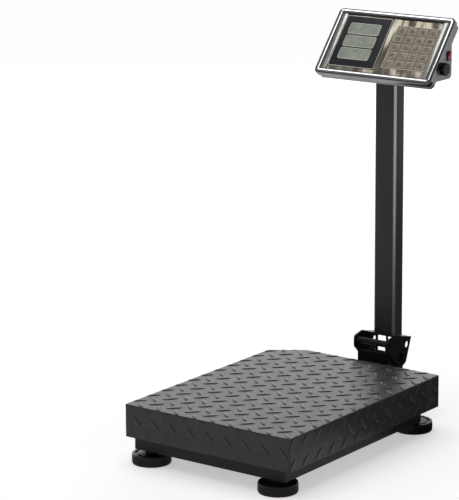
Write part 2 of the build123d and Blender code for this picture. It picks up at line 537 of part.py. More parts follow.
tray_w, tray_l = head_w - 2 * tray_inset, head_l - 2 * tray_inset
side_x = tray_w / 2
high = behind_face(y=box_rear, w=-tray_depth)
low = behind_face(z=box_under, w=-tray_depth)
in_n = (-sin(tilt), cos(tilt))
in_low = behind_face(z=box_under + wall, w=-tray_depth)
in_high = behind_face(y=box_rear - wall, w=-tray_depth)
reach = tray_depth - bezel_t - 4.0
neck_room = neck_w / 2 + neck_gap
with BuildPart() as head_housing:
    with BuildSketch(face.offset(-bezel_t)):
        RectangleRounded(tray_w, tray_l, bezel_r - 1)
    extrude(amount=bezel_t - tray_depth)
    with BuildSketch(Plane.YZ.offset(-side_x)) as box:
        Polygon(high, (box_rear, box_under), low,
                (low[0] + in_n[0] * wall, low[1] + in_n[1] * wall),
                (high[0] + in_n[0] * wall, high[1] + in_n[1] * wall), align=None)
        fillet(box.vertices().sort_by_distance(Vector(box_rear, box_under, 0))[0], box_r)
    extrude(amount=tray_w)
    with BuildSketch(face.offset(-bezel_t)):
        RectangleRounded(tray_w - 2 * wall, tray_l - 2 * wall, bezel_r - 1 - wall)
    extrude(amount=bezel_t + wall - tray_depth, mode=Mode.SUBTRACT)
    with BuildSketch(Plane.YZ.offset(-side_x + wall)) as room:
        Polygon((in_low[0] + wall, in_low[1]), (box_rear - wall, box_under + wall),
                (in_high[0], in_high[1] - wall),
                (in_high[0] + in_n[0] * reach, in_high[1] - wall + in_n[1] * reach),
                (in_low[0] + wall + in_n[0] * reach, in_low[1] + in_n[1] * reach), align=None)
        fillet(room.vertices().sort_by_distance(Vector(box_rear - wall, box_under + wall, 0))[0],
               box_r - wall)
    extrude(amount=tray_w - 2 * wall, mode=Mode.SUBTRACT)
    # board bosses on the tray floor
    with BuildSketch(face.offset(-board_back)):
        with GridLocations(2 * boss_u, 2 * boss_v, 2, 2):
            Circle(boss_d / 2)
    extrude(amount=board_back - tray_depth + wall)
    # two ears that hang the head on the tilt stud
    for x in (-neck_room - ear_t, neck_room):
        with BuildSketch(Plane.YZ.offset(x)):
            with Locations((tilt_y, tilt_z)):
                Circle(neck_lobe)
            Polygon((tilt_y - neck_lobe, tilt_z), (tilt_y - neck_lobe, box_under + wall / 2),
                    (tilt_y + neck_lobe, box_under + wall / 2), (tilt_y + neck_lobe, tilt_z), align=None)
        extrude(amount=ear_t)
    with BuildSketch(Plane.YZ.offset(-neck_room - 2 * ear_t)):
        with Locations((tilt_y, tilt_z)):
            Circle((tilt_d + tilt_fit) / 2)
    extrude(amount=neck_room + 2 * ear_t + side_x, mode=Mode.SUBTRACT)
    # slot for the neck
    with Locations((0, (neck_slot_front + neck_slot_rear) / 2, box_under)):
        Box(2 * neck_room, neck_slot_rear - neck_slot_front, 2 * wall, mode=Mode.SUBTRACT)
    # rear display opening and switch opening
    with Locations((0, box_rear, window_z)):
        Box(window_w, 3 * wall, window_h, mode=Mode.SUBTRACT)
    with Locations((side_x, rock_y, rock_z)):
        Box(3 * wall, rock_w, rock_h, mode=Mode.SUBTRACT)
    # clearance for the four housing screws
    with BuildSketch(face.offset(-tray_depth)):
        with GridLocations(2 * post_u, 2 * post_v, 2, 2):
            Circle((screw_d + bolt_fit) / 2)
    extrude(amount=wall, mode=Mode.SUBTRACT)
save(head_housing.part, "head_housing")

# --- face plate stack ---------------------------------------------------------
key_spots = [(pad_u + (c - (key_cols - 1) / 2) * key_px, pad_v + ((key_rows - 1) / 2 - r) * key_py)
             for r in range(key_rows) for c in range(key_cols)]
lcd_spots = [(lcd_u, lcd_v - i * lcd_pitch) for i in range(3)]
fascia_front = -bezel_lip
panel_front = fascia_front + panel_t
with BuildPart() as fascia_plate:
    with BuildSketch(face.offset(fascia_front)):
        RectangleRounded(pocket_w, pocket_l, bezel_r / 2)
        with Locations(*lcd_spots):
            Rectangle(lcd_w, lcd_l, mode=Mode.SUBTRACT)
        with Locations(*key_spots):
            Rectangle(key_w, key_l, mode=Mode.SUBTRACT)
    extrude(amount=-fascia_t)
    with BuildSketch(face.offset(fascia_front - fascia_t)):
        with GridLocations(2 * post_u, 2 * post_v, 2, 2):
            Circle(post_d / 2)
    extrude(amount=-(tray_depth - wall + fascia_front - fascia_t))
    with BuildSketch(face.offset(-tray_depth + wall)):
        with GridLocations(2 * post_u, 2 * post_v, 2, 2):
            Circle(screw_d / 2)
    extrude(amount=screw_reach, mode=Mode.SUBTRACT)
save(fascia_plate.part, "fascia_plate")

with BuildPart() as display_panel:
    with BuildSketch(face.offset(fascia_front)):
        with Locations((panel_u, panel_v)):
            Rectangle(panel_w, panel_l)
        with Locations(*lcd_spots):
            Rectangle(lcd_w, lcd_l, mode=Mode.SUBTRACT)
    extrude(amount=panel_t)
save(display_panel.part, "display_panel")

board_front = -board_back + board_t
with BuildPart() as lcd_modules:
    with BuildSketch(face.offset(board_front)):
        with Locations(*lcd_spots):
            Rectangle(lcd_w, lcd_l)
    extrude(amount=panel_front - lcd_sink - board_front)
save(lcd_modules.part, "lcd_modules")

film_front = fascia_front + film_t
with BuildPart() as keypad_film:
    with BuildSketch(face.offset(fascia_front)) as film:
        with Locations((pad_u, pad_v)):
            RectangleRounded(film_w, film_l, 2)
        with Locations(*key_spots):
            Rectangle(key_w, key_l, mode=Mode.SUBTRACT)
    extrude(amount=film_t)
save(keypad_film.part, "keypad_film")

key_front = film_front + key_rise
for i, spot in enumerate(key_spots):
    name = "key_row%d_col%d" % (i // key_cols + 1, i % key_cols + 1)
    with BuildPart() as key:
        with BuildSketch(face.offset(key_front)):
            with Locations(spot):
                Rectangle(key_w - 2 * key_gap, key_l - 2 * key_gap)
        extrude(amount=-key_h)
        with BuildSketch(face.offset(key_front - key_h)):
            with Locations(spot):
                Circle(key_stem_d / 2)
        extrude(amount=-key_stem)
    save(key.part, name)

with BuildPart() as main_board:
    with BuildSketch(face.offset(-board_back)):
        Rectangle(board_w, board_l)
    extrude(amount=board_t)
save(main_board.part, "main_board")

with BuildPart() as housing_screws:
    with BuildSketch(face.offset(-tray_depth)):
        with GridLocations(2 * post_u, 2 * post_v, 2, 2):
            Circle(screw_head / 2)
    extrude(amount=-screw_head_h)
    with BuildSketch(face.offset(-tray_depth)):
        with GridLocations(2 * post_u, 2 * post_v, 2, 2):
            Circle(screw_d / 2)
    extrude(amount=wall + screw_reach - 0.5)
save(housing_screws.part, "housing_screws")

with BuildPart() as battery:
    with Locations((batt_x, batt_y, box_under + wall)):
        Box(batt_w, batt_d, batt_h, align=(Align.CENTER, Align.CENTER, Align.MIN))
save(battery.part, "battery")

# --- rear display -------------------------------------------------------------
with BuildPart() as rear_window:
    with Locations((0, box_rear - window_sink, window_z)):
        Box(window_w, window_t, window_h, align=(Align.CENTER, Align.MAX, Align.CENTER))
save(rear_window.part, "rear_window")

with BuildPart() as rear_lcds:
    with Locations(*[(s * rear_lcd_x, box_rear - window_sink - window_t, window_z) for s in (-1, 1)]):
        Box(rear_lcd_w, rear_lcd_t, rear_lcd_h, align=(Align.CENTER, Align.MAX, Align.CENTER))
save(rear_lcds.part, "rear_lcds")

# --- power switch -------------------------------------------------------------
with BuildPart() as rocker_frame:
    with Locations((side_x, rock_y, rock_z)):
        Box(rock_t, rock_w + 2 * rock_rim, rock_h + 2 * rock_rim,
            align=(Align.MIN, Align.CENTER, Align.CENTER))
        Box(rock_body, rock_w, rock_h, align=(Align.MAX, Align.CENTER, Align.CENTER))
    with Locations((side_x + rock_t, rock_y, rock_z)):
        Box(rock_cavity, rock_w - 1.6, rock_h - 1.6, align=(Align.MAX, Align.CENTER, Align.CENTER),
            mode=Mode.SUBTRACT)
save(rocker_frame.part, "rocker_frame")

paddle_x = side_x - 1.5
paddle_h = rock_h - 1.6 - 2 * paddle_gap - 1.0
with BuildPart() as power_rocker:
    with BuildSketch(Plane.XZ.offset(-rock_y)) as paddle:
        with Locations(Location((paddle_x, rock_z), -paddle_lean)):
            Polygon((-1.5, -paddle_h / 2), (4.6, -paddle_h / 2), (3.4, 0), (4.6, paddle_h / 2),
                    (-1.5, paddle_h / 2), align=None)
    extrude(amount=(rock_w - 1.6) / 2 - paddle_gap / 2, both=True)
save(power_rocker.part, "power_rocker")

# --- tilt knob with its stud --------------------------------------------------
knob_x = side_x + knob_gap
with BuildPart() as tilt_knob:
    with BuildSketch(Plane.YZ.offset(knob_x)):
        with Locations((tilt_y, tilt_z)):
            Circle(knob_d / 2)
            with PolarLocations(knob_d / 2 - 0.5, 8):
                Circle(knob_lobe / 2)
    extrude(amount=knob_t)
    with BuildSketch(Plane.YZ.offset(side_x + run_gap)):
        with Locations((tilt_y, tilt_z)):
            Circle(knob_hub / 2)
    extrude(amount=knob_gap)
    with BuildSketch(Plane.YZ.offset(-neck_room - ear_t - 4)):
        with Locations((tilt_y, tilt_z)):
            Circle(tilt_d / 2)
    extrude(amount=neck_room + ear_t + 4 + knob_x)
save(tilt_knob.part, "tilt_knob")
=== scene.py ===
from math import atan2, cos, pi, radians, sin

import bpy
from mathutils import Matrix, Vector


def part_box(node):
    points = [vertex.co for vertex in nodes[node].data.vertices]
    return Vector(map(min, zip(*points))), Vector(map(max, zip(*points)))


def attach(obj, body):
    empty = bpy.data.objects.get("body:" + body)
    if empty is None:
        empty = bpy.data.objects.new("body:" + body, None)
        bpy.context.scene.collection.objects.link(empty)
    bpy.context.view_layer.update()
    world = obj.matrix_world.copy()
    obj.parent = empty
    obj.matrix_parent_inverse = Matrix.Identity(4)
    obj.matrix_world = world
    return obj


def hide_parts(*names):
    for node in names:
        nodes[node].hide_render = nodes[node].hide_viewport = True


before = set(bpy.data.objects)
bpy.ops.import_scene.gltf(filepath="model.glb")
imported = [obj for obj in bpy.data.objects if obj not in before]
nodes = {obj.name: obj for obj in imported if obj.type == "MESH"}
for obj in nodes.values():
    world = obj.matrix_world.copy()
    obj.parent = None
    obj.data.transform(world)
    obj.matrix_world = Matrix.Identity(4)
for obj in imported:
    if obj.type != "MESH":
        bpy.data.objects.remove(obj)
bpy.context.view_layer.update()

mm = 0.001
hair = 1e-6
crease = 50
print("frame loaded:", len(nodes), "nodes")


# small tools for working in object and edit mode

def deselect():
    if bpy.context.object and bpy.context.object.mode != "OBJECT":
        bpy.ops.object.mode_set(mode="OBJECT")
    bpy.ops.object.select_all(action="DESELECT")


def only(obj):
    deselect()
    obj.select_set(True)
    bpy.context.view_layer.objects.active = obj


def named(name):
    obj = bpy.context.object
    obj.name = name
    obj.data.name = name
    return obj


def settle(obj):
    only(obj)
    bpy.ops.object.transform_apply(location=True, rotation=True, scale=True)
    return obj


def edit(obj, kind, test):
    # edit mode with only the vertices, edges or faces that pass the test selected
    only(obj)
    mesh = obj.data
    for group in (mesh.vertices, mesh.edges, mesh.polygons):
        group.foreach_set("select", [False] * len(group))
    bpy.context.tool_settings.mesh_select_mode = (kind == "VERT", kind == "EDGE", kind == "FACE")
    if kind == "VERT":
        for v in mesh.vertices:
            v.select = bool(test(v.co))
    elif kind == "EDGE":
        for e in mesh.edges:
            e.select = bool(test(mesh.vertices[e.vertices[0]].co, mesh.vertices[e.vertices[1]].co))
    else:
        for p in mesh.polygons:
            p.select = bool(test(p.center, p.normal))
    bpy.ops.object.mode_set(mode="EDIT")


def done(obj):
    bpy.ops.object.mode_set(mode="OBJECT")
    return obj


def finishWith(obj, kind, **settings):
    only(obj)
    modifier = obj.modifiers.new(kind.title(), kind)
    for key, value in settings.items():
        setattr(modifier, key, value)
    bpy.ops.object.modifier_apply(modifier=modifier.name)
    return obj


def smooth(obj, angle=35):
    only(obj)
    bpy.ops.object.shade_smooth_by_angle(angle=radians(angle))
    return obj


def joined(parts, name):
    deselect()
    for part in parts:
        part.select_set(True)
    bpy.context.view_layer.objects.active = parts[0]
    bpy.ops.object.join()
    return named(name)


def copyOf(obj):
    twin = obj.copy()
    twin.data = obj.data.copy()
    bpy.context.collection.objects.link(twin)
    return twin


def outward(obj):
    edit(obj, "FACE", lambda c, n: True)
    bpy.ops.mesh.remove_doubles(threshold=hair)
    bpy.ops.mesh.normals_make_consistent(inside=False)
    return done(obj)


def printed(name, words, size, spot, thick, swell=0.0):
    # lettering centred on spot, made a mesh
    bpy.ops.object.text_add(location=spot)
    mark = bpy.context.object
    mark.data.body = words
    mark.data.size = size
    mark.data.align_x = "CENTER"
    mark.data.align_y = "CENTER"
    mark.data.extrude = thick
    mark.data.offset = swell
    mark.data.resolution_u = 2
    bpy.ops.object.convert(target="MESH")
    return settle(named(name))


def vertical(a, b):
    return abs(a.x - b.x) < hair and abs(a.y - b.y) < hair


def roundedPlate(name, width, length, thick, radius, edge=0.0, place=(0, 0, 0), segments=6):
    # its underside stands at place
    bpy.ops.mesh.primitive_cube_add(size=1, location=(place[0], place[1], place[2] + thick / 2),
                                    scale=(width, length, thick))
    plate = settle(named(name))
    edit(plate, "EDGE", vertical)
    bpy.ops.mesh.bevel(offset=radius, segments=segments, affect="EDGES")
    done(plate)
    if edge:
        top = place[2] + thick
        edit(plate, "EDGE", lambda a, b: a.z > top - hair and b.z > top - hair)
        bpy.ops.mesh.bevel(offset=edge, segments=3, affect="EDGES")
        done(plate)
    return plate


def roundedRing(name, width, length, height, radius, band, place=(0, 0, 0), edge=0.0, segments=6):
    # a raised outline, its underside at place
    bpy.ops.mesh.primitive_plane_add(size=1, location=place)
    ring = named(name)
    ring.scale = (width, length, 1)
    settle(ring)
    edit(ring, "VERT", lambda v: True)
    bpy.ops.mesh.bevel(offset=radius, segments=segments, affect="VERTICES")
    bpy.ops.mesh.select_all(action="SELECT")
    bpy.context.tool_settings.mesh_select_mode = (False, False, True)
    bpy.ops.mesh.inset(thickness=band, depth=0)
    bpy.ops.mesh.delete(type="FACE")
    done(ring)
    finishWith(ring, "SOLIDIFY", thickness=height, offset=1)
    outward(ring)
    if edge:
        finishWith(ring, "BEVEL", width=edge, segments=2, limit_method="ANGLE", angle_limit=radians(crease))
    return ring


# the head's face: x to the right, y up the face, z out of it
head = {"centre": (0, 0.2126, 0.5795), "tilt": 50.2}
tilt = radians(head["tilt"])
onFace = Matrix(((1, 0, 0, 0),
                 (0, cos(tilt), -sin(tilt), head["centre"][1]),
                 (0, sin(tilt), cos(tilt), head["centre"][2]),
                 (0, 0, 0, 1)))


def putOnFace(obj):
    obj.matrix_world = onFace @ obj.matrix_world
    return settle(obj)


# colours, nodes and finishes

def colour(code):
    # sRGB hex to linear
    def lin(v):
        return v / 12.92 if v <= 0.04045 else ((v + 0.055) / 1.055) ** 2.4
    return tuple(lin(int(code[i:i + 2], 16) / 255) for i in (1, 3, 5)) + (1.0,)


def add(tree, kind, settings=None, links=None):
    node = tree.nodes.new("ShaderNode" + kind)
    for key, value in (settings or {}).items():
        if isinstance(key, str) and hasattr(node, key):
            setattr(node, key, value)
        else:
            node.inputs[key].default_value = value
    for socket, source in (links or {}).items():
        tree.links.new(source, node.inputs[socket])
    return node


def startMaterial(name, **sockets):
    material = bpy.data.materials.new(name)
    material.use_nodes = True
    tree = material.node_tree
    shader = tree.nodes["Principled BSDF"]
    for key, value in sockets.items():
        shader.inputs[key.replace("_", " ")].default_value = value
    place = add(tree, "TexCoord").outputs["Object"]
    return material, tree, shader, place


def finish(name, base, dark, light, grain, stretch=(1, 1, 1), rough=(0.35, 0.5), bump=0.0, bumpSize=0.3,
           **sockets):
    # a grained finish: grain and bumpSize are the marks' size in mm
    material, tree, shader, place = startMaterial(name, **sockets)
    spread = add(tree, "Mapping", {"Scale": stretch}, {"Vector": place})
    clouds = add(tree, "TexNoise", {"Scale": 1000 / grain, "Detail": 4, "Roughness": 0.55},
                 {"Vector": spread.outputs[0]})
    ramp = add(tree, "ValToRGB", links={"Fac": clouds.outputs["Fac"]})
    ramp.color_ramp.elements[0].position = 0.3
    ramp.color_ramp.elements[1].position = 0.7
    ramp.color_ramp.elements[0].color = colour(dark)
    ramp.color_ramp.elements[1].color = colour(light)
    middle = ramp.color_ramp.elements.new(0.5)
    middle.color = colour(base)
    tree.links.new(ramp.outputs[0], shader.inputs["Base Color"])
    gloss = add(tree, "MapRange", {"To Min": rough[0], "To Max": rough[1]},
                {"Value": clouds.outputs["Fac"]})
    tree.links.new(gloss.outputs[0], shader.inputs["Roughness"])
    if bump:
        fine = add(tree, "TexNoise", {"Scale": 1000 / bumpSize, "Detail": 2},
                   {"Vector": spread.outputs[0]})
        lift = add(tree, "Bump", {"Strength": bump, "Distance": bumpSize * mm / 3},
                   {"Height": fine.outputs["Fac"]})
        tree.links.new(lift.outputs[0], shader.inputs["Normal"])
    return material


# powder-coated mild steel tread plate: a dull sheen with a fine orange peel
treadCoat = finish("treadCoat", "#1c1c1c", "#181818", "#212121", 22,
                   rough=(0.34, 0.44), bump=0.25, bumpSize=0.9, Specular_IOR_Level=0.32)
# satin black enamel on folded sheet: deep, with a soft highlight on the bends
frameEnamel = finish("frameEnamel", "#090909", "#070707", "#0c0c0d", 18,
                     rough=(0.4, 0.52), bump=0.15, bumpSize=0.8, Specular_IOR_Level=0.2)
# gloss black enamel on drawn tube: long clean reflections down the faces
tubeEnamel = finish("tubeEnamel", "#070707", "#050505", "#090909", 30,
                    stretch=(1, 1, 0.2), rough=(0.29, 0.35), bump=0.05, bumpSize=1.2,
                    Specular_IOR_Level=0.22)
# satin black powder on the hinge plates
hingePowder = finish("hingePowder", "#090909", "#070707", "#0d0d0d", 9,
                     rough=(0.3, 0.42), bump=0.3, bumpSize=0.7, Specular_IOR_Level=0.2)
# zinc plated steel: pale, faintly blotched
zincPlate = finish("zincPlate", "#b9bcbf", "#a3a6a9", "#cbcdd0", 5, rough=(0.26, 0.4), Metallic=0.95)
# clear anodised aluminium, milled: fine lines along the bar
milledAluminium = finish("milledAluminium", "#c6c8cb", "#b7b9bd", "#d3d5d8", 1.2,
                         stretch=(1, 0.06, 1), rough=(0.28, 0.42), Metallic=0.9)
# moulded nitrile rubber: matt, slightly dusty
padRubber = finish("padRubber", "#191919", "#131313", "#222222", 7,
                   rough=(0.7, 0.85), bump=0.3, bumpSize=0.6)
# injection moulded black ABS with a fine spark texture
blackAbs = finish("blackAbs", "#080808", "#060606", "#0b0b0b", 6,
                  rough=(0.3, 0.45), bump=0.3, bumpSize=0.35, Specular_IOR_Level=0.2)
# silver paint over moulded ABS: a metallic fleck that softens the grey
silverPaint = finish("silverPaint", "#7c7d7f", "#707173", "#88898c", 3,
                     rough=(0.34, 0.46), bump=0.1, bumpSize=0.5, Metallic=0.6)
# gloss black for the bezel's outer edge and inner groove lines: painted dark reflections on the chrome
darkReflectionGloss = finish("darkReflectionGloss", "#0b0b0c", "#090909", "#0f0f10", 20, rough=(0.2, 0.3))
# decorative chrome over ABS: mirror bright; on the bezel the same chrome, laid as a band over the duller
# copy, is a painted highlight line
chromeAndHighlight = finish("chromeAndHighlight", "#e9eaec", "#dfe0e3", "#f2f3f4", 40,
                      rough=(0.05, 0.09), Metallic=1.0)
# the bezel's own moulding: the same chrome made darker and a little duller, a shaded copy of it: painted
# shade
shadedChrome = finish("shadedChrome", "#76777a", "#6a6b6e", "#848588", 40,
                      rough=(0.14, 0.22), Metallic=0.95)
# silvered acrylic: pale with a cool cast, glossy
pearlGloss = finish("pearlGloss", "#c4c4bd", "#a5a69f", "#dededa", 7,
                    stretch=(1, 0.3, 0.3), rough=(0.1, 0.18), Metallic=0.6)
# champagne tinted steel, polished, with the slow waves of a thin sheet
champagneSteel = finish("champagneSteel", "#aea796", "#8c8474", "#c9c4b5", 26,
                        stretch=(1, 0.35, 0.35), rough=(0.11, 0.17), bump=0.6, bumpSize=45, Metallic=0.85)
# printed polycarbonate film over the displays: nearly black, glossy
panelFilm = finish("panelFilm", "#17181b", "#121316", "#1f2024", 40,
                   rough=(0.12, 0.2), bump=0.05, bumpSize=1.5, Specular_IOR_Level=0.4)
# unlit reflective liquid crystal: grey with a green cast
crystalGlass = finish("crystalGlass", "#949a8e", "#888e82", "#a2a89c", 12, rough=(0.12, 0.2))
# printed polyester film over the keys: tan brown, soft gloss
keyFilm = finish("keyFilm", "#7c7263", "#6c6255", "#8d8373", 14,
                 rough=(0.22, 0.34), bump=0.08, bumpSize=0.8)
# the raised key tops are the same film, a little paler
keyTop = finish("keyTop", "#877c69", "#786d5b", "#988d79", 7,
                rough=(0.22, 0.34), bump=0.08, bumpSize=0.8)
# dark screen ink of the key marks
darkInk = finish("darkInk", "#332d27", "#2a251f", "#3b342d", 2, rough=(0.4, 0.5))
# silver screen ink of the outlines
silverInk = finish("silverInk", "#d0cfc8", "#c2c1ba", "#dcdbd5", 2, rough=(0.25, 0.35), Metallic=0.3)
# glass-epoxy board under green solder resist
boardResist = finish("boardResist", "#1d5a36", "#174b2c", "#256b42", 3, rough=(0.3, 0.45))
# shrink film round the cell pack
packFilm = finish("packFilm", "#2c4a6b", "#254059", "#34567a", 10, rough=(0.3, 0.4))
# smoked acrylic window
smokedAcrylic = finish("smokedAcrylic", "#141516", "#101112", "#1b1c1d", 20, rough=(0.05, 0.1))
# backlit green crystal, only faintly bright
greenCrystal = finish("greenCrystal", "#1cc75a", "#18b851", "#22d465", 8,
                      rough=(0.15, 0.22), Emission_Color=(0.01, 0.55, 0.09, 1), Emission_Strength=0.35)
# white screen ink round the rear displays
whiteInk = finish("whiteInk", "#e4e4e1", "#d9d9d6", "#eeeeec", 3, rough=(0.35, 0.45))
# red polycarbonate rocker
redRocker = finish("redRocker", "#86131a", "#741016", "#981820", 5, rough=(0.18, 0.26))
# dark grey satin paint on the rear of the head
greyPaint = finish("greyPaint", "#2b2c2e", "#242527", "#333436", 4,
                   rough=(0.36, 0.48), bump=0.1, bumpSize=0.5)

feet = ["foot_%s_%s" % (end, side) for end in ("front", "rear") for side in ("left", "right")]
finishes = {
    treadCoat: ["deck_plate"],
    frameEnamel: ["side_rails", "cross_rails", "column_arm", "bridge_plate", "deck_spider"],
    milledAluminium: ["load_cell"],
    zincPlate: ["cell_spacers", "cell_bolts", "overload_stops", "foot_nuts", "bracket_bolts", "lock_lever",
                "housing_screws"],
    padRubber: ["deck_pads", "lever_grip"],
    hingePowder: ["hinge_bracket", "column_bracket", "head_neck", "hinge_pin", "tie_rod"],
    tubeEnamel: ["column_tube"],
    blackAbs: ["column_plug", "rocker_frame", "tilt_knob"] + feet,
    silverPaint: ["head_housing"],
    shadedChrome: ["head_bezel"],
    champagneSteel: ["fascia_plate"],
    panelFilm: ["display_panel"],
    crystalGlass: ["lcd_modules"],
    keyFilm: ["keypad_film"],
    keyTop: ["key_row%d_col%d" % (r, c) for r in range(1, 6) for c in range(1, 5)],
    boardResist: ["main_board"],
    packFilm: ["battery"],
    smokedAcrylic: ["rear_window"],
    greenCrystal: ["rear_lcds"],
    redRocker: ["power_rocker"],
}
for material, names in finishes.items():
    for name in names:
        nodes[name].data.materials.clear()
        nodes[name].data.materials.append(material)
print("materials on", sum(len(n) for n in finishes.values()), "CAD nodes")


# the raised bars of the tread plate, both slants, over the top and the four walls

tread = {"pitch": 33.3, "length": 25.0, "width": 6.6, "height": 1.1, "fold": 2.4, "clip": (52.5, 35.0),
         "topStart": (6.1, 7.5), "wallStart": (6.1, 7.5), "sink": 0.25, "stray": 0.6}


def makeLug():
    # a pointed bar with a crowned top, its underside buried in the sheet
    bpy.ops.mesh.primitive_uv_sphere_add(segments=14, ring_count=8, radius=0.5)
    lug = named("lug")
    lug.scale = (tread["length"] * mm, tread["width"] * mm, 2 * tread["height"] * mm)
    settle(lug)
    edit(lug, "FACE", lambda c, n: True)
    bpy.ops.mesh.bisect(plane_co=(0, 0, -tread["sink"] * mm), plane_no=(0, 0, 1), use_fill=True,
                        clear_inner=True)
    return done(lug)


def sheetPlace(corner, along, outwardly):
    # frame of a flat wall: x along it, y up, z outwards
    x, z = Vector(along).normalized(), Vector(outwardly).normalized()
    y = z.cross(x)
    return Matrix(((x.x, y.x, z.x, corner[0]), (x.y, y.y, z.y, corner[1]), (x.z, y.z, z.z, corner[2]),
                   (0, 0, 0, 1)))


def cutBy(obj, point, normal):
    edit(obj, "FACE", lambda c, n: True)
    bpy.ops.mesh.bisect(plane_co=point, plane_no=normal, use_fill=True, clear_inner=True)
    return done(obj)


def coverSheet(lug, matrix, span, height, start, edges):
    # both families of bars over one sheet, trimmed where the sheet ends
    # a bar is left out once its middle lies further past the sheet than stray
    pitch, stray = tread["pitch"] * mm, tread["length"] * mm / 2 * tread["stray"]
    parts = []
    for i in range(-2, int(span / pitch) + 3):
        for j in range(-2, int(height / pitch) + 3):
            for half, turn in ((0, 45), (0.5, -45)):
                x = start[0] * mm + (i + half) * pitch
                y = -start[1] * mm - (j + half) * pitch
                if -stray < x < span + stray and -height - stray < y < stray:
                    one = copyOf(lug)
                    one.matrix_world = (Matrix.Translation((x, y, 0))
                                        @ Matrix.Rotation(radians(turn), 4, "Z"))
                    parts.append(one)
    sheet = settle(joined(parts, "sheetLugs"))
    for point, normal in edges:
        cutBy(sheet, point, normal)
    sheet.matrix_world = matrix
    return settle(sheet)


def layLugs():
    low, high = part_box("deck_plate")
    fold, clip = tread["fold"] * mm, [c * mm for c in tread["clip"]]
    wide, deep, tall = high[0] - low[0], high[1] - low[1], high[2] - low[2]
    lug = makeLug()

    def wallEdges(span, down):
        return [((fold, 0, 0), (1, 0, 0)), ((span - fold, 0, 0), (-1, 0, 0)), ((0, -fold, 0), (0, -1, 0)),
                ((0, fold - down, 0), (0, 1, 0))]

    top = sheetPlace((low[0], high[1], high[2]), (1, 0, 0), (0, 0, 1))
    slant = Vector((clip[1], -clip[0], 0)).normalized()
    sheets = [coverSheet(lug, top, wide, deep, tread["topStart"],
                         wallEdges(wide, deep) + [(Vector((clip[0], 0, 0)) + slant * fold, slant)])]
    walls = [((low[0], low[1], high[2]), (1, 0, 0), (0, -1, 0), wide),
             ((high[0], low[1], high[2]), (0, 1, 0), (1, 0, 0), deep),
             ((high[0], high[1], high[2]), (-1, 0, 0), (0, 1, 0), wide - clip[0]),
             ((low[0], high[1] - clip[1], high[2]), (0, -1, 0), (-1, 0, 0), deep - clip[1])]
    for corner, along, out, span in walls:
        sheets.append(coverSheet(lug, sheetPlace(corner, along, out), span, tall, tread["wallStart"],
                                 wallEdges(span, tall)))
    bpy.data.objects.remove(lug)
    lugs = joined(sheets, "treadLugs")
    smooth(lugs, crease)
    lugs.data.materials.append(treadCoat)
    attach(lugs, "base")
    print("tread lugs:", len(lugs.data.polygons), "faces")


layLugs()


# the printed outlines, key caps and the bezel on the front of the head; sizes in mm

panel = {"at": (-45.5, 2.4), "size": (85, 92), "front": -1.3, "line": 0.9, "radius": 3, "lift": 0.25}
crystals = {"at": (-47.5, 25.6), "size": (57.2, 20.2), "count": 3, "pitch": 22.7, "line": 1.0, "radius": 3.0,
            "lift": 0.3}
keypad = {"at": (49.0, 0.0), "size": (79, 77), "front": -1.7, "line": 0.8, "radius": 2, "lift": 0.25,
          "pitch": (19, 14.8), "rows": 5, "columns": 4}
keyCap = {"size": (15.7, 11.7), "top": -1.1, "base": -7.5, "corner": 1.0, "edge": 0.35,
          "outline": {"inset": 0.5, "band": 0.45, "height": 0.08, "corner": 0.9, "sink": 0.02}}


def printedLine(name, item, spot):
    wide, tall = item["size"]
    return roundedRing(name, wide * mm, tall * mm, item["lift"] * mm, item["radius"] * mm,
                       item["line"] * mm, spot)


def outlines():
    # silver lines round the display film, the three readings and the keypad
    x, y = panel["at"]
    lines = [printedLine("panelLine", panel, (x * mm, y * mm, panel["front"] * mm))]
    x, y = crystals["at"]
    for i in range(crystals["count"]):
        lines.append(printedLine("crystalLine", crystals,
                                 (x * mm, (y - i * crystals["pitch"]) * mm, panel["front"] * mm)))
    x, y = keypad["at"]
    lines.append(printedLine("keypadLine", keypad, (x * mm, y * mm, keypad["front"] * mm)))
    ring = smooth(putOnFace(joined(lines, "displayOutlines")))
    ring.data.materials.append(silverInk)
    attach(ring, "head")


def keySpot(row, col):
    middle = (keypad["columns"] - 1) / 2, (keypad["rows"] - 1) / 2
    return ((keypad["at"][0] + (col - middle[0]) * keypad["pitch"][0]) * mm,
            (keypad["at"][1] + (middle[1] - row) * keypad["pitch"][1]) * mm)


def keys():
    # each key's row and column, counted from nought, its node and the words for its pieces' names
    for row in range(keypad["rows"]):
        for col in range(keypad["columns"]):
            yield row, col, "key_row%d_col%d" % (row + 1, col + 1), "Row%dCol%d" % (row + 1, col + 1)


def keyCaps():
    w, l = keyCap["size"]
    line = keyCap["outline"]
    for row, col, node, where in keys():
        x, y = keySpot(row, col)
        cap = roundedPlate("cap", w * mm, l * mm, (keyCap["top"] - keyCap["base"]) * mm,
                           keyCap["corner"] * mm, keyCap["edge"] * mm, (x, y, keyCap["base"] * mm), 4)
        cap.data.materials.append(keyTop)
        ring = roundedRing("line", (w - line["inset"]) * mm, (l - line["inset"]) * mm,
                           line["height"] * mm, line["corner"] * mm, line["band"] * mm,
                           (x, y, (keyCap["top"] - line["sink"]) * mm), segments=3)
        ring.data.materials.append(silverInk)
        cap = smooth(putOnFace(joined([cap, ring], "keyCap" + where)))
        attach(cap, node)
        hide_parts(node)


# each ring: name, distance in from the bezel's edge, width, height over its front
bezel = {"size": (214, 120.5), "round": 8, "tighten": 0.8, "sink": 0.2, "edge": 0.12,
         "rings": (("edge", 0.9, 1.9, 0.35), ("bright", 2.8, 4.6, 0.7), ("groove", 7.4, 1.8, 0.3))}
sill = {"width": 7.0, "long": 106.5, "height": 0.5, "inset": 11.6, "below": -1.0, "corner": 1.2, "edge": 0.2}


